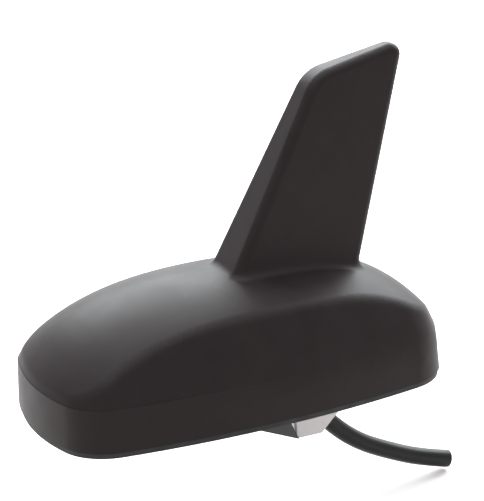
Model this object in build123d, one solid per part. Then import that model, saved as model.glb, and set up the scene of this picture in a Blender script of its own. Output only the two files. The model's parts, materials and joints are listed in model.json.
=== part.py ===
from build123d import *
from math import cos, pi, radians, sqrt, tan
import os

# Shark fin roof aerial for a car: a moulded radome over a die-cast base with a square foot.
# +X points to the tail and +Z up. z = 0 is the roof skin that the gasket seals on,
# and the origin is in the middle of the foot.

# Plan of the base
base_length = 120.0
base_width = 64.6
foot_from_nose = 77.5
widest_from_nose = 66.0
nose_width = 57.0
nose_bow = 6.5
tail_width = 53.0
tail_bow = 9.0
plan_corner = 15.5

# Heights and section of the radome
gasket_thickness = 1.6
gasket_inset = 0.5
skirt_top = 13.5
skirt_lean = 3.0
crease_step = 0.3
dome_lean = 23.0
crown_radius = 60.0
crown_height = 35.3
crown_peak_from_nose = 58.0
crown_nose_height = 13.5
crown_brow_height = 25.3
crown_brow_from_nose = 13.0
crown_front_height = 32.8
crown_front_from_nose = 32.0
crown_rear_height = 32.6
crown_rear_from_tail = 30.0
crown_haunch_height = 26.2
crown_haunch_from_tail = 13.0
crown_tail_height = 12.0
walls_over_crown = 1.0
shoulder_round = 6.0
wall = 2.5

# Fin, set out at the height of its root line
fin_root = 36.0
fin_front_from_nose = 59.0
fin_chord = 40.9
fin_front_lean = 28.8
fin_rear_lean = 15.8
fin_front_width = 17.4
fin_rear_width = 11.4
fin_front_taper = 4.3
fin_rear_taper = 2.4
fin_height = 93.2
fin_top_slope = 11.5
fin_brow_round = 11.0
fin_tip_round = 3.2
fin_edge_round = 2.6
fin_foot_round = 3.5

# Base casting and its foot
plate_gap = 0.25
plate_thickness = 3.0
foot_length = 26.0
foot_width = 13.0
foot_depth = 17.1
foot_chamfer = 6.5
foot_toe_depth = 11.5
foot_toe_length = 11.0
foot_round = 1.0
clamp_thread_radius = 2.5
clamp_thread_length = 12.0
clamp_thread_from_front = 5.0
collar_gap = 2.0
collar_width = 1.6
collar_height = 1.2
collar_outer_corner = 3.0
collar_inner_corner = 2.0
seat_gap = 0.15

# Snap clip round the front of the foot
clip_wall = 1.6
clip_nose = 4.5
clip_reach = 11.5
clip_top_below_roof = 3.0
clip_front_depth = 9.6
clip_tip_rise = 0.5
clip_gap = 0.1
pip_size = 3.0
pip_height = 0.7

# Lead and how it is held
lead_diameter = 5.2
channel_gap = 0.25
lead_route = [
    (3.4, 11.0),
    (3.4, -1.0),
    (7.6, -12.2),
    (14.5, -20.1),
    (22.0, -26.1),
    (31.5, -31.0),
    (41.5, -35.4),
    (50.6, -37.9),
]
lead_bend_share = 0.45
bush_width = 2.2
bush_height = 2.6
bush_seat = 1.6
tower_length = 9.0
tower_width = 19.0
tower_top = 9.0
strap_thickness = 1.0
strap_height = 2.6
ferrule_wall = 0.6
ferrule_height = 2.0
spigot_radius = 0.9

# Rim seal and screws
seal_depth = 1.2
seal_height = 1.6
base_screw_radius = 1.25
base_screw_length = 10.0
base_screw_head_radius = 2.6
base_screw_head_height = 1.5
front_screw_from_nose = 17.0
front_screw_offset = 17.0
side_screw_from_nose = 46.0
side_screw_from_edge = 9.3
rear_screw_from_tail = 17.0
rear_screw_offset = 17.0
boss_radius = 3.2
thread_gap = 0.05
small_screw_radius = 1.0
small_screw_length = 5.0
small_screw_head_radius = 1.9
small_screw_head_height = 1.2

# Boards and the parts on them
board_thickness = 1.6
board_under = 11.6
board_front = -46.0
board_rear = 20.0
board_width = 34.0
board_corner = 3.0
post_radius = 2.8
post_inset = 4.0
element_thickness = 1.2
element_gap = 1.8
tongue_length = 5.0
tongue_depth = 2.4
track_thickness = 0.3
track_width = 2.2
track_pitch = 5.6
track_rows = 8
track_low = 44.0
pad_height = 7.0
pad_gap = 0.3
pin_size = 0.6
pin_pitch = 2.54
pin_count = 4
can_length = 14.0
can_width = 18.0
can_height = 4.5
can_wall = 0.3
can_from_front = 10.0
bobbin_radius = 5.0
bobbin_core = 2.2
bobbin_height = 8.0
bobbin_flange = 1.0
coil_turns = 6
chip_length = 4.9
chip_width = 3.9
chip_height = 1.4
chip_leg = 0.4
chip_legs_a_side = 4
capacitor_count = 4
capacitor_pitch = 2.8
capacitor_size = (1.6, 0.8, 0.8)
inductor_count = 3
inductor_pitch = 3.4
inductor_size = (2.0, 1.6, 1.6)

# Derived levels and places
nose_x = -foot_from_nose
tail_x = base_length - foot_from_nose
plate_top = gasket_thickness + plate_thickness
crease_inset = (skirt_top - gasket_thickness) * tan(radians(skirt_lean)) + crease_step
cavity_inset = wall + crease_inset
board_top = board_under + board_thickness
foot_front = -foot_length / 2
lead_radius = lead_diameter / 2
channel_radius = lead_radius + channel_gap
lead_x = lead_route[0][0]
base_screw_places = [
    (nose_x + front_screw_from_nose, front_screw_offset),
    (nose_x + side_screw_from_nose, base_width / 2 - side_screw_from_edge),
    (tail_x - rear_screw_from_tail, rear_screw_offset),
]
base_screw_points = [(x, side * y) for x, y in base_screw_places for side in (-1, 1)]
upward = (Align.CENTER, Align.CENTER, Align.MIN)
downward = (Align.CENTER, Align.CENTER, Align.MAX)
board_screw_points = [
    (x, side * (board_width / 2 - post_inset))
    for x in (board_front + post_inset, board_rear - post_inset)
    for side in (-1, 1)
]


def plan(inset):
    # Plan outline of the base, drawn in by inset all round
    front_x = nose_x + nose_bow
    rear_x = tail_x - tail_bow
    widest_x = nose_x + widest_from_nose
    outline = [
        ThreePointArc((front_x, nose_width / 2), (nose_x, 0), (front_x, -nose_width / 2)),
        ThreePointArc((front_x, -nose_width / 2), (widest_x, -base_width / 2), (rear_x, -tail_width / 2)),
        ThreePointArc((rear_x, -tail_width / 2), (tail_x, 0), (rear_x, tail_width / 2)),
        ThreePointArc((rear_x, tail_width / 2), (widest_x, base_width / 2), (front_x, nose_width / 2)),
    ]
    core = offset(make_face(outline), -plan_corner)
    return offset(core, plan_corner - inset)


def slab(face, low, high):
    return extrude(Pos(0, 0, low) * face, high - low)


def post(x, y, radius, low, high):
    return Pos(x, y, low) * Cylinder(radius, high - low, align=upward)


def leaning_wall(low, low_inset, high, high_inset):
    # Solid between two plan outlines, with straight leaning sides
    return loft([Pos(0, 0, low) * plan(low_inset), Pos(0, 0, high) * plan(high_inset)], ruled=True)


def crown(inset):
    # Solid under the crowned roof of the dome, lofted through arched sections
    stations = [
        (0.0, crown_nose_height),
        (crown_brow_from_nose, crown_brow_height),
        (crown_front_from_nose, crown_front_height),
        (crown_peak_from_nose, crown_height),
        (base_length - crown_rear_from_tail, crown_rear_height),
        (base_length - crown_haunch_from_tail, crown_haunch_height),
        (base_length, crown_tail_height),
    ]
    radius = crown_radius - inset
    half = base_width / 2
    spring = radius - sqrt(radius**2 - half**2)
    sections = []
    for from_nose, height in stations:
        top = height - inset
        arch = ThreePointArc((-half, top - spring), (0, top), (half, top - spring))
        low = -crown_height
        foot = Polyline((half, top - spring), (half, low), (-half, low), (-half, top - spring))
        sections.append(Plane.YZ.offset(nose_x + from_nose) * make_face([arch, foot]))
    return loft(sections)


def dome(inset):
    # The dome above the crease, drawn in by inset
    rise = crown_height + walls_over_crown - skirt_top
    foot_inset = inset + crease_inset
    top_inset = foot_inset + rise * tan(radians(dome_lean))
    walls = leaning_wall(skirt_top, foot_inset, skirt_top + rise, top_inset)
    return walls & crown(inset)


def fin_edge_x(z, inset):
    # Leading and trailing edges of the fin at a height
    front_root = nose_x + fin_front_from_nose + inset / cos(radians(fin_front_lean))
    rear_root = nose_x + fin_front_from_nose + fin_chord - inset / cos(radians(fin_rear_lean))
    front_x = front_root + (z - fin_root) * tan(radians(fin_front_lean))
    rear_x = rear_root + (z - fin_root) * tan(radians(fin_rear_lean))
    return front_x, rear_x


def fin_side(inset, low):
    # Side profile of the fin from a low level to its sloping top, on the XZ plane
    slope = tan(radians(fin_top_slope))
    front_run = tan(radians(fin_front_lean))
    top = fin_height - inset
    low_front, low_rear = fin_edge_x(low, inset)
    tip_x = fin_edge_x(top, inset)[1]
    brow_z = (top - slope * (tip_x - low_front + low * front_run)) / (1 - front_run * slope)
    brow_x = fin_edge_x(brow_z, inset)[0]
    corners = [(low_front, low), (low_rear, low), (tip_x, top), (brow_x, brow_z)]
    side = make_face(Polyline(*corners, close=True))
    side = fillet(side.vertices().sort_by_distance((brow_x, brow_z))[0], fin_brow_round - inset / 2)
    side = fillet(side.vertices().sort_by_distance((tip_x, top))[0], fin_tip_round - inset / 2)
    return Plane.XZ * side


def fin(inset):
    # The fin, drawn in by inset: tapered sections cut to the side profile
    sections = []
    for z in (skirt_top, fin_height):
        front_x, rear_x = fin_edge_x(z, inset)
        front_y = fin_front_width / 2 - inset - (z - fin_root) * tan(radians(fin_front_taper))
        rear_y = fin_rear_width / 2 - inset - (z - fin_root) * tan(radians(fin_rear_taper))
        corners = [(front_x, -front_y), (rear_x, -rear_y), (rear_x, rear_y), (front_x, front_y)]
        sections.append(Pos(0, 0, z) * make_face(Polyline(*corners, close=True)))
    return loft(sections, ruled=True) & extrude(fin_side(inset, skirt_top), fin_front_width, both=True)


def make_radome():
    # Outer form: skirt, crowned dome with a rounded shoulder, and the fin blended into it
    shell = dome(0.0)
    roof = max(shell.faces(), key=lambda face: face.center().Z)
    shell = fillet(roof.edges(), shoulder_round)
    blade = fin(0.0)
    high_edges = blade.edges().filter_by(lambda edge: edge.center().Z > fin_root)
    long_edges = high_edges.filter_by(lambda edge: abs(edge.center().Y) > fin_edge_round / 2)
    blade = fillet(long_edges, fin_edge_round)
    outer = shell + blade
    outer = fillet(new_edges(shell, blade, combined=outer), fin_foot_round)
    outer += leaning_wall(gasket_thickness, 0.0, skirt_top, crease_inset - crease_step)
    # Inside: one wall thickness, open at the bottom, with screw bosses up to the roof
    hollow = slab(plan(cavity_inset), gasket_thickness, skirt_top) + dome(wall) + fin(wall)
    radome = outer - hollow
    for x, y in base_screw_points:
        radome += post(x, y, boss_radius, plate_top, crown_height) & outer
    for x, y in base_screw_points:
        radome -= post(x, y, base_screw_radius + thread_gap, plate_top, plate_top + base_screw_length)
    return radome


def lead_path():
    points = [(x, 0, z) for x, z in lead_route]
    radii = []
    for before, corner, after in zip(lead_route, lead_route[1:], lead_route[2:]):
        run_in = Vector(corner) - Vector(before)
        run_out = Vector(after) - Vector(corner)
        turn = run_in.get_angle(run_out)
        radii.append(lead_bend_share * min(run_in.length, run_out.length) / tan(radians(turn / 2)))
    print("lead bend radii", [round(radius, 1) for radius in radii])
    return FilletPolyline(*points, radius=radii)


def make_lead(path, radius):
    start = Plane(origin=path @ 0, z_dir=path % 0)
    return sweep(start * Circle(radius), path=path)


def make_base_plate(path):
    # Plate with the square foot under it and the posts and clamp tower on it
    casting = slab(plan(cavity_inset + plate_gap), gasket_thickness, plate_top)
    foot = Pos(0, 0, -foot_depth) * Box(foot_length, foot_width, foot_depth + plate_top, align=upward)
    heel = foot.edges().group_by(Axis.Z)[0].sort_by(Axis.X)[-1]
    foot = chamfer(heel, foot_chamfer)
    foot -= Pos(foot_front, 0, -foot_depth) * Box(
        foot_toe_length, foot_width, foot_depth - foot_toe_depth, align=(Align.MIN, Align.CENTER, Align.MIN)
    )
    foot = fillet(foot.edges().filter_by(Axis.Z), foot_round)
    casting += foot
    tower_face = lead_x - channel_gap
    casting += Pos(tower_face, 0, plate_top) * Box(
        tower_length, tower_width, tower_top - plate_top, align=(Align.MAX, Align.CENTER, Align.MIN)
    )
    for x, y in board_screw_points:
        casting += post(x, y, post_radius, plate_top, board_under)
    # Ways for the lead, the seals and the screws
    casting -= make_lead(path, channel_radius)
    strap_low = strap_level() - strap_height / 2
    casting -= post(lead_x, 0, lead_radius + bush_width, plate_top - bush_seat, strap_low)
    groove_low = plate_top - (plate_thickness + seal_height) / 2
    groove = plan(cavity_inset) - plan(cavity_inset + plate_gap + seal_depth)
    casting -= slab(groove, groove_low, groove_low + seal_height)
    casting -= slab(collar_ring(seat_gap), gasket_thickness, gasket_thickness + collar_height + seat_gap)
    head_seat = gasket_thickness + base_screw_head_height
    for x, y in base_screw_points:
        casting -= post(x, y, base_screw_radius + seat_gap, gasket_thickness, plate_top)
        casting -= post(x, y, base_screw_head_radius + seat_gap, gasket_thickness, head_seat)
    for x, y in board_screw_points:
        casting -= post(x, y, small_screw_radius + thread_gap, plate_top, board_under)
    for y in strap_screw_offsets():
        hole = Cylinder(small_screw_radius + thread_gap, small_screw_length, align=downward)
        casting -= Pos(tower_face, y, strap_level()) * Rot(0, 90, 0) * hole
    thread_x = foot_front + clamp_thread_from_front
    thread_top = clamp_thread_length - foot_toe_depth
    casting -= post(thread_x, 0, clamp_thread_radius, -foot_toe_depth, thread_top)
    drill_point = Cone(clamp_thread_radius, 0, clamp_thread_radius / 2, align=upward)
    casting -= Pos(thread_x, 0, thread_top) * drill_point
    for side in (-1, 1):
        casting -= Pos(pip_x(), side * foot_width / 2, pip_z()) * Box(
            pip_size + 2 * clip_gap, 2 * (pip_height + clip_gap), pip_size + 2 * clip_gap
        )
    return casting


def collar_ring(gap):
    # Ring round the foot where the gasket keys into the casting
    inner_x = foot_length + 2 * collar_gap
    inner_y = foot_width + 2 * collar_gap
    reach = 2 * (collar_width + gap)
    outer = RectangleRounded(inner_x + reach, inner_y + reach, collar_outer_corner)
    return outer - RectangleRounded(inner_x - 2 * gap, inner_y - 2 * gap, collar_inner_corner)


def make_roof_gasket():
    gasket = slab(plan(gasket_inset), 0.0, gasket_thickness)
    gasket += slab(collar_ring(0.0), gasket_thickness, gasket_thickness + collar_height)
    foot_hole = RectangleRounded(foot_length + 2 * seat_gap, foot_width + 2 * seat_gap, foot_round)
    return gasket - slab(foot_hole, 0.0, gasket_thickness)


def make_rim_seal():
    groove_low = plate_top - (plate_thickness + seal_height) / 2
    ring = plan(cavity_inset) - plan(cavity_inset + plate_gap + seal_depth)
    return slab(ring, groove_low, groove_low + seal_height)


def pip_x():
    return foot_front + clip_reach / 3


def pip_z():
    return -(clip_top_below_roof + clip_front_depth) / 2


def make_snap_clip():
    # U of acetal hugging the front of the foot, with a ramp under it and a sharp rear tip
    front = foot_front - clip_nose
    tip_x = foot_front + clip_reach
    tip_z = -foot_depth + clip_tip_rise
    top_z = -clip_top_below_roof
    corners = [(front, top_z), (front, -clip_front_depth), (tip_x, tip_z), (tip_x - clip_reach / 2, top_z)]
    width = foot_width + 2 * (clip_gap + clip_wall)
    clip = extrude(Plane.XZ * make_face(Polyline(*corners, close=True)), width / 2, both=True)
    nose_edges = clip.edges().filter_by(Axis.Z).sort_by(Axis.X)[:2]
    clip = fillet(nose_edges, clip_nose)
    hollow = Pos(foot_front - clip_gap, 0, -foot_depth) * Box(
        foot_length, foot_width + 2 * clip_gap, foot_depth, align=(Align.MIN, Align.CENTER, Align.MIN)
    )
    clip -= fillet(hollow.edges().filter_by(Axis.Z), foot_round)
    for side in (-1, 1):
        inner_y = side * (foot_width / 2 + clip_gap)
        clip += Pos(pip_x(), inner_y, pip_z()) * Box(pip_size, 2 * pip_height, pip_size)
    return clip


def make_lead_bush():
    ring = Circle(lead_radius + bush_width) - Circle(lead_radius + thread_gap)
    return Pos(lead_x, 0, 0) * slab(ring, plate_top - bush_seat, plate_top - bush_seat + bush_height)


def strap_level():
    return plate_top - bush_seat + bush_height + strap_height / 2 + seat_gap


def strap_screw_offsets():
    offset_y = (lead_radius + tower_width / 2) / 2 + strap_thickness / 2
    return -offset_y, offset_y


def make_lead_clamp():
    # Pressed saddle: an arch round the back of the lead and an ear on each side
    arch_radius = lead_radius + thread_gap + strap_thickness
    outline = Pos(lead_x, 0) * Circle(arch_radius)
    face = Pos(lead_x - channel_gap, 0)
    outline += face * Rectangle(strap_thickness, tower_width, align=(Align.MIN, Align.CENTER))
    outline -= Pos(lead_x, 0) * Circle(lead_radius + thread_gap)
    outline -= face * Rectangle(tower_length, tower_width, align=(Align.MAX, Align.CENTER))
    low = strap_level() - strap_height / 2
    saddle = slab(outline, low, low + strap_height)
    for y in strap_screw_offsets():
        hole = Cylinder(small_screw_radius + seat_gap, 4 * strap_thickness)
        saddle -= Pos(lead_x, y, strap_level()) * Rot(0, 90, 0) * hole
    return saddle


def make_screw(radius, length, head_radius, head_height):
    # Pan head screw along Z, seat of the head at z = 0 and shank up to the length
    head = post(0, 0, head_radius, -head_height, 0)
    head = chamfer(head.edges().group_by(Axis.Z)[0], head_height / 3)
    slot_width = head_radius / 3
    for angle in (0, 90):
        head -= Pos(0, 0, -head_height) * Rot(0, 0, angle) * Box(head_radius, slot_width, head_height)
    shank = post(0, 0, radius, 0, length)
    shank = chamfer(shank.edges().group_by(Axis.Z)[-1], radius / 2)
    return head + shank


def make_base_screws():
    seat = gasket_thickness + base_screw_head_height
    screw = make_screw(base_screw_radius, base_screw_length, base_screw_head_radius, base_screw_head_height)
    return Compound(children=[Pos(x, y, seat) * screw for x, y in base_screw_points])


def make_small_screw():
    return make_screw(small_screw_radius, small_screw_length, small_screw_head_radius, small_screw_head_height)


def make_board_screws():
    screw = Rot(180, 0, 0) * make_small_screw()
    return Compound(children=[Pos(x, y, board_top) * screw for x, y in board_screw_points])


def make_clamp_screws():
    screw = Rot(0, -90, 0) * make_small_screw()
    face_x = lead_x - channel_gap + strap_thickness
    return Compound(children=[Pos(face_x, y, strap_level()) * screw for y in strap_screw_offsets()])


def make_lead_ferrule():
    # Crimp cup on the end of the lead, with a solder spigot through the main board
    lead_end = lead_route[0][1]
    cup = post(lead_x, 0, lead_radius + ferrule_wall, lead_end - ferrule_height, lead_end + ferrule_wall)
    cup -= post(lead_x, 0, lead_radius, lead_end - ferrule_height, lead_end)
    return cup + post(lead_x, 0, spigot_radius, lead_end, board_top + ferrule_wall)


def tongue_places():
    front_x = fin_edge_x(board_top, wall + element_gap)[0]
    return front_x + tongue_length, lead_x - 2 * tongue_length


def make_main_board():
    middle = (board_front + board_rear) / 2
    outline = Pos(middle, 0) * RectangleRounded(board_rear - board_front, board_width, board_corner)
    board = slab(outline, board_under, board_top)
    for x, y in board_screw_points:
        board -= post(x, y, small_screw_radius + seat_gap, board_under, board_top)
    board -= post(lead_x, 0, spigot_radius + seat_gap, board_under, board_top)
    for x in tongue_places():
        slot = Pos(x, 0) * Rectangle(tongue_length + 2 * seat_gap, element_thickness + 2 * seat_gap)
        board -= slab(slot, board_under, board_top)
    for x in pin_places():
        board -= post(x, pin_reach(), pin_size, board_under, board_top)
    return board


def make_element_board():
    # Upright board that follows the inside of the fin, with tongues through the main board
    blade = extrude(fin_side(wall + element_gap, board_top), element_thickness / 2, both=True)
    for x in tongue_places():
        blade += Pos(x, 0, board_top) * Box(
            tongue_length, element_thickness, tongue_depth, align=(Align.CENTER, Align.CENTER, Align.MAX)
        )
    arch = Pos(lead_x, 0, board_top) * Rot(90, 0, 0) * Cylinder(2 * ferrule_height, 2 * element_thickness)
    return blade - arch


def make_radiator():
    # Folded copper track on the near face of the element board, rows joined at alternate ends
    margin = wall + element_gap + 1.5 * track_width
    track = None
    for row in range(track_rows):
        z = track_low + row * track_pitch
        front_x, rear_x = fin_edge_x(z, margin)
        strip = Pos((front_x + rear_x) / 2, z) * Rectangle(rear_x - front_x, track_width)
        track = strip if track is None else track + strip
        if row < track_rows - 1:
            end_x = rear_x if row % 2 else front_x + track_pitch
            track += Pos(end_x - track_width / 2, z + track_pitch / 2) * Rectangle(track_width, track_pitch)
    feed_x = fin_edge_x(track_low, margin)[1] - track_width / 2
    feed_low = board_top + 2 * tongue_depth
    track += Pos(feed_x, (feed_low + track_low) / 2) * Rectangle(track_width, track_low - feed_low)
    return Pos(0, -element_thickness / 2, 0) * extrude(Plane.XZ * track, track_thickness)


def make_fin_pad():
    # Foam saddle that steadies the top of the element board in the fin
    block = fin(wall + pad_gap)
    reach = 2 * fin_height
    keep = Pos(0, 0, fin_height - wall - pad_height) * Box(reach, reach, reach, align=upward)
    slot_side = fin_side(wall + element_gap - pad_gap, skirt_top)
    slot = extrude(slot_side, element_thickness / 2 + pad_gap, both=True)
    return (block & keep) - slot


def pin_reach():
    return element_thickness / 2 + 2 * pin_pitch


def pin_places():
    first = sum(tongue_places()) / 2 - (pin_count - 1) * pin_pitch / 2
    return [first + pin * pin_pitch for pin in range(pin_count)]


def make_link_pins():
    # Right-angled pins from the face of the element board down through the main board
    level = board_top + pin_pitch
    low = board_under - pin_size
    pins = []
    for x in pin_places():
        arm_length = pin_reach() + pin_size / 2 - element_thickness / 2
        arm = Pos(x, element_thickness / 2, level) * Box(
            pin_size, arm_length, pin_size, align=(Align.CENTER, Align.MIN, Align.CENTER)
        )
        leg = Pos(x, pin_reach(), low) * Box(pin_size, pin_size, level - low, align=upward)
        pins.append(arm + leg)
    return Compound(children=pins)


def can_x():
    return board_front + can_from_front


def make_shield_can():
    outer = RectangleRounded(can_length, can_width, 3 * can_wall)
    inner = RectangleRounded(can_length - 2 * can_wall, can_width - 2 * can_wall, 2 * can_wall)
    roof = board_top + can_height - can_wall
    can = slab(outer, board_top, roof + can_wall) - slab(inner, board_top, roof)
    for column in (-1, 0, 1):
        for row in (-1, 0, 1):
            can -= post(column * can_length / 4, row * can_width / 4, 4 * can_wall, roof, roof + can_wall)
    return Pos(can_x(), 0, 0) * can


def make_amplifier_chip():
    # Small outline package with four gull-wing legs on each side
    leg = chip_leg
    chip = Pos(0, 0, leg / 2) * Box(chip_length, chip_width, chip_height, align=upward)
    chip = chamfer(chip.edges().group_by(Axis.Z)[-1], leg / 2)
    for index in range(chip_legs_a_side):
        x = (index - (chip_legs_a_side - 1) / 2) * chip_length / chip_legs_a_side
        for side in (-1, 1):
            chip += Pos(x, side * chip_width / 2, leg) * Box(leg, 2 * leg, leg)
            chip += Pos(x, side * (chip_width / 2 + leg), 0) * Box(leg, 2 * leg, 1.5 * leg, align=upward)
    return Pos(can_x(), 0, board_top) * chip


def make_chip_row(count, pitch, size, y):
    # Row of chip parts with proud end caps
    length, width, height = size
    parts = []
    for index in range(count):
        x = can_x() + (index - (count - 1) / 2) * pitch
        body = Box(length, width, height, align=upward)
        for side in (-1, 1):
            body += Pos(side * length / 2, 0, 0) * Box(length / 3, 1.1 * width, 1.1 * height, align=upward)
        parts.append(Pos(x, y, board_top) * body)
    return Compound(children=parts)


def bobbin_place():
    return board_rear - 2.5 * bobbin_radius, board_width / 4


def make_coil_bobbin():
    x, y = bobbin_place()
    bobbin = post(x, y, bobbin_core, board_top, board_top + bobbin_height)
    bobbin += post(x, y, bobbin_radius, board_top, board_top + bobbin_flange)
    bobbin_top = board_top + bobbin_height
    bobbin += post(x, y, bobbin_radius, bobbin_top - bobbin_flange, bobbin_top)
    return bobbin


def make_coil_winding():
    # Turns of enamelled wire, drawn as one body with a ridge for each turn
    x, y = bobbin_place()
    low = bobbin_flange + thread_gap
    wire = (bobbin_height - 2 * low) / coil_turns
    outer = bobbin_core + 2 * wire
    inner = bobbin_core + thread_gap
    high = low + coil_turns * wire
    edges = [Line((outer, high), (inner, high))]
    edges.append(Line((inner, high), (inner, low)))
    edges.append(Line((inner, low), (outer, low)))
    for turn in range(coil_turns):
        start = low + turn * wire
        ridge = (outer + wire / 2, start + wire / 2)
        edges.append(Line((outer, start), ridge))
        edges.append(Line(ridge, (outer, start + wire)))
    return Pos(x, y, board_top) * revolve(Plane.XZ * make_face(edges), Axis.Z)


os.makedirs("parts", exist_ok=True)
route = lead_path()
lead = make_lead(route, lead_radius)
lead_share = lead.volume / (route.length * pi * lead_radius**2)
print("lead length", round(route.length, 1), "volume against section", round(lead_share, 4))
pieces = {
    "radome": make_radome(),
    "roof_gasket": make_roof_gasket(),
    "base_plate": make_base_plate(route),
    "snap_clip": make_snap_clip(),
    "lead": lead,
    "lead_bush": make_lead_bush(),
    "lead_clamp": make_lead_clamp(),
    "clamp_screws": make_clamp_screws(),
    "lead_ferrule": make_lead_ferrule(),
    "rim_seal": make_rim_seal(),
    "base_screws": make_base_screws(),
    "main_board": make_main_board(),
    "board_screws": make_board_screws(),
    "shield_can": make_shield_can(),
    "amplifier_chip": make_amplifier_chip(),
    "chip_capacitors": make_chip_row(capacitor_count, capacitor_pitch, capacitor_size, can_width / 3),
    "chip_inductors": make_chip_row(inductor_count, inductor_pitch, inductor_size, -can_width / 3),
    "coil_bobbin": make_coil_bobbin(),
    "coil_winding": make_coil_winding(),
    "element_board": make_element_board(),
    "radiator": make_radiator(),
    "fin_pad": make_fin_pad(),
    "link_pins": make_link_pins(),
}
for name, piece in pieces.items():
    export_step(piece, f"parts/{name}.step")
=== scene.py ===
import json
from math import cos, pi, radians, sin
import bmesh
import bpy
from mathutils import Matrix, Vector


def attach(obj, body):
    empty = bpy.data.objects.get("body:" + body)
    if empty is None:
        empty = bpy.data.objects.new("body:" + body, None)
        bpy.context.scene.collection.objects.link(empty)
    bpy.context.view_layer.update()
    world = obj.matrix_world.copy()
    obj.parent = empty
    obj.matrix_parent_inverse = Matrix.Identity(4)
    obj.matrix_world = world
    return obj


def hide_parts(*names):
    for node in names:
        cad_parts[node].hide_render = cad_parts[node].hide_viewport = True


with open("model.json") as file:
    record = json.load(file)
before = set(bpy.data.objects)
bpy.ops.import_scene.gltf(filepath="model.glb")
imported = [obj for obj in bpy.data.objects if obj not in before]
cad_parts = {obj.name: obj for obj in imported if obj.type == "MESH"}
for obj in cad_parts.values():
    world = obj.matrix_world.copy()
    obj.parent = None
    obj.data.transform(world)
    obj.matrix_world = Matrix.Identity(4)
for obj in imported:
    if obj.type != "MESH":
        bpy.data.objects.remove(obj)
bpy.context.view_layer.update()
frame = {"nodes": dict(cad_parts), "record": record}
scene = bpy.context.scene
scene.view_settings.view_transform = "Standard"
mm = 0.001


def toLinear(hexColour):
    # sRGB hex to the linear colour that shaders take
    channels = [int(hexColour[i:i + 2], 16) / 255 for i in (0, 2, 4)]
    return tuple(c / 12.92 if c <= 0.04045 else ((c + 0.055) / 1.055) ** 2.4 for c in channels) + (1.0,)


def addNode(tree, kind, sockets=None, **settings):
    # a node with its settings; each socket is given a number, a colour or another node's output
    node = tree.nodes.new(kind)
    for name, value in settings.items():
        setattr(node, name, value)
    for name, value in (sockets or {}).items():
        if isinstance(value, bpy.types.NodeSocket):
            tree.links.new(value, node.inputs[name])
        else:
            node.inputs[name].default_value = value
    return node


def showsBackdrop(tree):
    # 1 for rays that show the white backdrop: from the camera, and in gloss and glass
    path = addNode(tree, "ShaderNodeLightPath").outputs
    share = path["Is Camera Ray"]
    for kind in ("Is Glossy Ray", "Is Transmission Ray"):
        share = addNode(tree, "ShaderNodeMath", {0: share, 1: path[kind]}, operation="MAXIMUM").outputs[0]
    return share


# Where the mottle starts and ends, as shares of its noise
mottleSpan = (0.3, 0.7)


def surface(name, look):
    # shared build of every material: mottled colour, uneven gloss and a fine bump, sizes in mm
    material = bpy.data.materials.new(name)
    material.use_nodes = True
    tree = material.node_tree
    tree.nodes.clear()
    place = addNode(tree, "ShaderNodeTexCoord").outputs["Object"]
    stretch = look.get("stretch")  # grain drawn out along an axis
    if stretch:
        place = addNode(tree, "ShaderNodeMapping", {"Vector": place, "Scale": stretch}).outputs["Vector"]
    mottle = addNode(tree, "ShaderNodeTexNoise", {
        "Vector": place, "Scale": 1 / (look["mottle"] * mm), "Detail": 4.0, "Roughness": 0.55}).outputs[0]
    if look.get("grainKind") == "cells":
        grain = addNode(tree, "ShaderNodeTexVoronoi", {
            "Vector": place, "Scale": 1 / (look["grain"] * mm)}).outputs["Distance"]
    else:
        grain = addNode(tree, "ShaderNodeTexNoise", {
            "Vector": place, "Scale": 1 / (look["grain"] * mm), "Detail": 3.0}).outputs[0]
    ramp = addNode(tree, "ShaderNodeValToRGB", {"Fac": mottle})
    ramp.color_ramp.elements[0].position, ramp.color_ramp.elements[1].position = mottleSpan
    ramp.color_ramp.elements[0].color = toLinear(look["dark"])
    ramp.color_ramp.elements[1].color = toLinear(look["light"])
    low, high = look["rough"]
    rough = addNode(tree, "ShaderNodeMapRange", {
        "Value": mottle, "From Min": mottleSpan[0], "From Max": mottleSpan[1],
        "To Min": low, "To Max": high}).outputs[0]
    bump = addNode(tree, "ShaderNodeBump", {
        "Height": grain, "Strength": look["bump"], "Distance": look.get("deep", 0.05) * mm}).outputs[0]
    shader = addNode(tree, "ShaderNodeBsdfPrincipled", {
        "Base Color": ramp.outputs["Color"], "Roughness": rough, "Metallic": look.get("metal", 0.0),
        "Specular IOR Level": look.get("specular", 0.5), "Normal": bump})
    addNode(tree, "ShaderNodeOutputMaterial", {"Surface": shader.outputs[0]})
    return material


def dress(obj, material):
    obj.data.materials.clear()
    obj.data.materials.append(material)


# Outer pieces, in mm and degrees: how near points are joined, slivers removed, and the sharpest smooth edge
skinLook = {"join": 0.002, "sliver": 0.001,
            "angles": {"radome": 24.0, "roof_gasket": 30.0, "base_plate": 30.0, "snap_clip": 30.0}}


def smoothCopy(nodeName, angle, reshape=None):
    # copy of a CAD node with its triangles joined, so that its rounds shade smoothly
    source = frame["nodes"][nodeName]
    mesh = bpy.data.meshes.new(nodeName + "_skin")
    work = bmesh.new()
    work.from_mesh(source.data)
    work.transform(source.matrix_world)
    bmesh.ops.remove_doubles(work, verts=work.verts, dist=skinLook["join"] * mm)
    bmesh.ops.dissolve_degenerate(work, edges=work.edges, dist=skinLook["sliver"] * mm)
    if reshape:
        reshape(work)
    for face in work.faces:
        face.smooth = True
    for edge in work.edges:
        rounded = len(edge.link_faces) == 2 and edge.calc_face_angle(pi) < radians(angle)
        edge.smooth = rounded and not (reshape and all(onCrease(v.co) for v in edge.verts))
    work.to_mesh(mesh)
    work.free()
    obj = bpy.data.objects.new(nodeName + "_skin", mesh)
    scene.collection.objects.link(obj)
    weigh = obj.modifiers.new("weigh", "WEIGHTED_NORMAL")
    weigh.keep_sharp = True
    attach(obj, "root")
    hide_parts(nodeName)
    return obj


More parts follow.
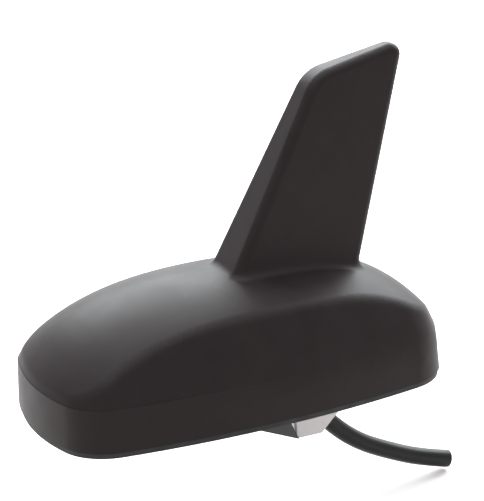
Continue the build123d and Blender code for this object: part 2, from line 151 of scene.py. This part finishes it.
# The ledge over the skirt, in mm and degrees: whole at the nose, and gone along the sides
creaseLook = {"level": 13.5, "step": 0.3, "whole": -52.0, "gone": -34.0, "sharp": -58.0, "soft": -6.0,
              "lean": 13.0, "side": 20.0, "nose": -60.0, "tail": 25.0, "near": 0.02, "under": 0.1, "join": 0.03,
              "band": 0.05, "steep": 0.12, "outward": 0.6}  # the last two are parts of a normal


def fadeShare(x, start, end):
    share = min(1.0, max(0.0, (x / mm - start) / (end - start)))
    return share * share * (3 - 2 * share)


def fadeCrease(work):
    # draws the rim of the skirt in to the foot of the dome, so that the ledge dies away behind the nose
    moves = []
    for vert in work.verts:
        if abs(vert.co.z - creaseLook["level"] * mm) > creaseLook["near"] * mm:
            continue
        upright = [f for f in vert.link_faces if abs(f.normal.z) < creaseLook["steep"]]
        floorZ = vert.co.z - creaseLook["under"] * mm
        below = [f for f in upright if f.calc_center_median().z < floorZ]
        out = sum((f.normal for f in below), Vector())
        if out.length and out.dot(Vector((vert.co.x, vert.co.y, 0.0))) > 0:
            share = fadeShare(vert.co.x, creaseLook["whole"], creaseLook["gone"])
            inward = Vector((-out.x, -out.y, 0.0)).normalized()
            moves.append((vert, inward * creaseLook["step"] * mm * share))
    for vert, move in moves:
        vert.co += move
    bmesh.ops.dissolve_degenerate(work, edges=work.edges, dist=creaseLook["join"] * mm)
    work.normal_update()


def onCrease(point):
    x, y = point.x / mm, abs(point.y) / mm
    outside = y > creaseLook["side"] or x < creaseLook["nose"] or x > creaseLook["tail"]
    return outside and abs(point.z - creaseLook["level"] * mm) < creaseLook["band"] * mm


def softenCrease(obj):
    # turns the shading normals at the crease towards each other, more and more from nose to tail
    baked = bpy.data.meshes.new_from_object(obj.evaluated_get(bpy.context.evaluated_depsgraph_get()))
    normals = [corner.vector.copy() for corner in baked.corner_normals]
    lean = radians(creaseLook["lean"])
    for index, loop in enumerate(baked.loops):
        point = baked.vertices[loop.vertex_index].co
        flat = Vector((normals[index].x, normals[index].y, 0.0))
        faces = flat.length > creaseLook["outward"] and flat.dot(Vector((point.x, point.y, 0.0))) > 0
        if onCrease(point) and faces:
            middle = flat.normalized() * cos(lean) + Vector((0.0, 0.0, sin(lean)))
            share = fadeShare(point.x, creaseLook["sharp"], creaseLook["soft"])
            normals[index] = normals[index].lerp(middle, share).normalized()
    baked.normals_split_custom_set(normals)
    obj.modifiers.clear()
    obj.data = baked


# Camera at the photograph's angle, with its small roll
cameraLook = {"eye": (-0.22896, -0.50983, 0.22961), "aim": (-0.01264, 0.0, 0.03972), "roll": 3.0,
              "lens": 152.0, "sensor": 36.0, "near": 0.01}
eye = Vector(cameraLook["eye"])
back = (eye - Vector(cameraLook["aim"])).normalized()
right = Vector((0, 0, 1)).cross(back).normalized()
up = back.cross(right)
turn = radians(cameraLook["roll"])
axes = Matrix((right * cos(turn) - up * sin(turn), right * sin(turn) + up * cos(turn), back)).transposed()
camera = bpy.data.objects.new("camera", bpy.data.cameras.new("camera"))
camera.data.lens = cameraLook["lens"]
camera.data.sensor_width = cameraLook["sensor"]
camera.data.clip_start = cameraLook["near"]
camera.matrix_world = Matrix.Translation(eye) @ axes.to_4x4()
scene.collection.objects.link(camera)
scene.camera = camera
print("camera placed")

# Lead: the route of the CAD lead, as one smooth curve
leadLook = {
    "route": [(3.4, 11.0), (3.4, -1.0), (7.6, -12.2), (14.5, -20.1),
              (22.0, -26.1), (31.5, -31.0), (41.5, -35.4), (50.6, -37.9)],
    "radius": 2.6, "length": 74.8, "exit": (9.3, 0.0, -14.2), "sides": 48, "edge": 0.08,
    # radius of each layer, and how far it stands out
    "layers": [(2.05, 0.15, "braid"), (1.75, 0.3, "dielectric"), (0.5, 0.7, "core")],
}
curve = bpy.data.curves.new("lead_skin", "CURVE")
curve.dimensions = "3D"
line = curve.splines.new("NURBS")
line.points.add(len(leadLook["route"]) - 1)
for point, (x, z) in zip(line.points, leadLook["route"]):
    point.co = (x * mm, 0.0, z * mm, 1.0)
    point.radius = leadLook["radius"] * mm  # times a bevel of one metre
line.order_u = 3
line.use_endpoint_u = True
line.resolution_u = 16
curve.bevel_depth = 1.0
curve.bevel_resolution = 8
curve.use_fill_caps = True
lead = bpy.data.objects.new("lead_skin", curve)
scene.collection.objects.link(lead)
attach(lead, "root")
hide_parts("lead")

# Cut end of the lead: braid, dielectric and core stand out in steps
endX, endZ = leadLook["route"][-1]
beforeX, beforeZ = leadLook["route"][-2]
along = Vector((endX - beforeX, 0.0, endZ - beforeZ)).normalized()
endTurn = along.to_track_quat("Z", "Y").to_matrix().to_4x4()
endPlace = Matrix.Translation(Vector((endX, 0.0, endZ)) * mm) @ endTurn
endPieces = {}
for radius, proud, layer in leadLook["layers"]:
    work = bmesh.new()
    bmesh.ops.create_circle(work, cap_ends=True, segments=leadLook["sides"], radius=radius * mm)
    drawn = bmesh.ops.extrude_face_region(work, geom=work.faces[:])
    lifted = [v for v in drawn["geom"] if isinstance(v, bmesh.types.BMVert)]
    bmesh.ops.translate(work, verts=lifted, vec=(0, 0, proud * mm))
    rim = [e for e in work.edges if all(v in lifted for v in e.verts)]
    bmesh.ops.bevel(work, geom=rim, offset=leadLook["edge"] * mm, segments=2, affect="EDGES", profile=0.5)
    bmesh.ops.recalc_face_normals(work, faces=work.faces[:])
    work.transform(endPlace)
    mesh = bpy.data.meshes.new("lead_" + layer)
    work.to_mesh(mesh)
    work.free()
    endPieces[layer] = bpy.data.objects.new("lead_" + layer, mesh)
    scene.collection.objects.link(endPieces[layer])
    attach(endPieces[layer], "root")
print("lead laid")

# Satin black ABS, slightly warm, with a fine spark texture
absLook = {"dark": "1d1617", "light": "241c1d", "mottle": 9.0, "grain": 0.35, "rough": (0.46, 0.52),
           "bump": 0.14, "deep": 0.03, "specular": 0.17}
# Matt gasket rubber, a little dusty
rubberLook = {"dark": "161616", "light": "252424", "mottle": 5.0, "grain": 0.25, "rough": (0.62, 0.8),
              "bump": 0.25, "deep": 0.05}
# Bare zinc die casting with a cast skin
zincLook = {"dark": "b4afb0", "light": "c1bdbe", "mottle": 4.0, "grain": 0.5, "grainKind": "cells",
            "rough": (0.34, 0.5), "bump": 0.18, "deep": 0.05, "metal": 0.5}
# Smooth black acetal
acetalLook = {"dark": "141414", "light": "1c1c1c", "mottle": 6.0, "grain": 0.3, "rough": (0.3, 0.38),
              "bump": 0.08, "deep": 0.03}
# Extruded PVC jacket, grain drawn out along the lead
jacketLook = {"dark": "181718", "light": "262526", "mottle": 3.0, "grain": 0.4, "stretch": (0.25, 1.0, 0.4),
              "rough": (0.34, 0.46), "bump": 0.15, "deep": 0.04, "specular": 0.2}
# Zinc plated steel
steelLook = {"dark": "8c8e92", "light": "b4b5b8", "mottle": 2.0, "grain": 0.2, "rough": (0.25, 0.4),
             "bump": 0.1, "metal": 1.0}
# Turned brass
brassLook = {"dark": "a0803e", "light": "c8a55a", "mottle": 2.0, "grain": 0.2, "rough": (0.25, 0.4),
             "bump": 0.1, "metal": 1.0}
# Bright copper
copperLook = {"dark": "a5623e", "light": "cf8a60", "mottle": 2.0, "grain": 0.2, "rough": (0.25, 0.4),
              "bump": 0.1, "metal": 1.0}
# Green solder resist over glass cloth
boardLook = {"dark": "17472a", "light": "235e38", "mottle": 3.0, "grain": 0.5, "grainKind": "cells",
             "rough": (0.3, 0.42), "bump": 0.2}
# Pressed tinplate
tinLook = {"dark": "96989b", "light": "b9babd", "mottle": 4.0, "grain": 0.4, "stretch": (0.2, 1.0, 1.0),
           "rough": (0.22, 0.35), "bump": 0.1, "metal": 1.0}
# Black moulded epoxy
epoxyLook = {"dark": "181818", "light": "242424", "mottle": 1.0, "grain": 0.1, "rough": (0.5, 0.65),
             "bump": 0.2}
# Fired ceramic of the chip capacitors
ceramicLook = {"dark": "8d7350", "light": "b09670", "mottle": 0.8, "grain": 0.1, "rough": (0.4, 0.55),
               "bump": 0.1}
# Natural nylon
nylonLook = {"dark": "c9c3b4", "light": "dcd7ca", "mottle": 2.0, "grain": 0.2, "rough": (0.4, 0.5),
             "bump": 0.1}
# Closed cell foam
foamLook = {"dark": "1e1e1e", "light": "333333", "mottle": 1.2, "grain": 0.5, "grainKind": "cells",
            "rough": (0.85, 0.95), "bump": 0.6, "deep": 0.15}
# Tinned copper braid at the cut end
braidLook = {"dark": "6e6460", "light": "b0a49c", "mottle": 0.3, "grain": 0.12, "grainKind": "cells",
             "rough": (0.35, 0.5), "bump": 0.5, "metal": 1.0}
# Milky polyethylene round the core
dielectricLook = {"dark": "cfccc4", "light": "e2dfd8", "mottle": 1.0, "grain": 0.2,
                  "rough": (0.35, 0.45), "bump": 0.1}

looks = {
    "black_abs": absLook, "black_rubber": rubberLook, "zinc": zincLook, "black_acetal": acetalLook,
    "lead_jacket": jacketLook, "steel": steelLook, "brass": brassLook, "copper": copperLook, "board": boardLook,
    "tinplate": tinLook, "chip_black": epoxyLook, "chip_tan": ceramicLook, "nylon": nylonLook, "foam": foamLook,
}
materials = {name: surface(name, look) for name, look in looks.items()}
dress(lead, materials["lead_jacket"])
dress(endPieces["braid"], surface("tinned_braid", braidLook))
dress(endPieces["dielectric"], surface("polyethylene", dielectricLook))
dress(endPieces["core"], materials["copper"])

# Outer pieces get smooth skins, and the rest keep their CAD nodes
slotOf = {part["node"]: part["material_slot"] for part in frame["record"]["subparts"]}
for nodeName, angle in skinLook["angles"].items():
    skin = smoothCopy(nodeName, angle, fadeCrease if nodeName == "radome" else None)
    if nodeName == "radome":
        softenCrease(skin)
    dress(skin, materials[slotOf[nodeName]])
for nodeName, node in frame["nodes"].items():
    dress(node, materials[slotOf[nodeName]])
print("pieces dressed")

# White floor just under the end of the lead
floorLook = {"level": -41.0, "half": 800.0, "colour": "fff9f7", "bounce": "a8a4a3", "lift": 0.08}
work = bmesh.new()
bmesh.ops.create_grid(work, x_segments=2, y_segments=2, size=floorLook["half"] * mm)
bmesh.ops.translate(work, verts=work.verts, vec=(0, 0, floorLook["level"] * mm))
floorMesh = bpy.data.meshes.new("floor")
work.to_mesh(floorMesh)
work.free()
floor = bpy.data.objects.new("floor", floorMesh)
scene.collection.objects.link(floor)
paper = bpy.data.materials.new("white_paper")  # matt studio paper
paper.use_nodes = True
tree = paper.node_tree
tree.nodes.clear()
bright = addNode(tree, "ShaderNodeBsdfDiffuse", {"Color": toLinear(floorLook["colour"])}).outputs[0]
bounce = addNode(tree, "ShaderNodeBsdfDiffuse", {"Color": toLinear(floorLook["bounce"])}).outputs[0]
glow = addNode(tree, "ShaderNodeEmission", {"Strength": floorLook["lift"]}).outputs[0]
backdrop = addNode(tree, "ShaderNodeAddShader", {0: bright, 1: glow}).outputs[0]
mixed = addNode(tree, "ShaderNodeMixShader", {"Fac": showsBackdrop(tree), 1: bounce, 2: backdrop})
addNode(tree, "ShaderNodeOutputMaterial", {"Surface": mixed.outputs[0]})
dress(floor, paper)

# Soft studio light: a wide bank behind and above, a top bank, and a dim room
lights = {
    "back_bank": {"at": (0.7, 0.95, 0.80), "size": (2.4, 0.9), "watts": 56.0, "colour": (0.92, 0.98, 1.0)},
    "top_bank": {"at": (-0.1, 0.0, 1.3), "size": (1.4, 1.4), "watts": 17.0, "colour": (0.93, 0.98, 1.0)},
}
for name, look in lights.items():
    lamp = bpy.data.lights.new(name, "AREA")
    lamp.shape = "RECTANGLE"
    lamp.size, lamp.size_y = look["size"]
    lamp.energy = look["watts"]
    lamp.color = look["colour"]
    lampObject = bpy.data.objects.new(name, lamp)
    lampObject.location = look["at"]
    lampObject.rotation_euler = Vector(look["at"]).to_track_quat("Z", "Y").to_euler()
    scene.collection.objects.link(lampObject)
roomLook = {"light": 0.45, "white": 1.0}
world = bpy.data.worlds.new("studio")
world.use_nodes = True
tree = world.node_tree
tree.nodes.clear()
strength = addNode(tree, "ShaderNodeMapRange", {
    "Value": showsBackdrop(tree), "To Min": roomLook["light"], "To Max": roomLook["white"]}).outputs[0]
sky = addNode(tree, "ShaderNodeBackground", {"Color": (1.0, 1.0, 1.0, 1.0), "Strength": strength})
addNode(tree, "ShaderNodeOutputWorld", {"Surface": sky.outputs[0]})
scene.world = world
print("stage lit")
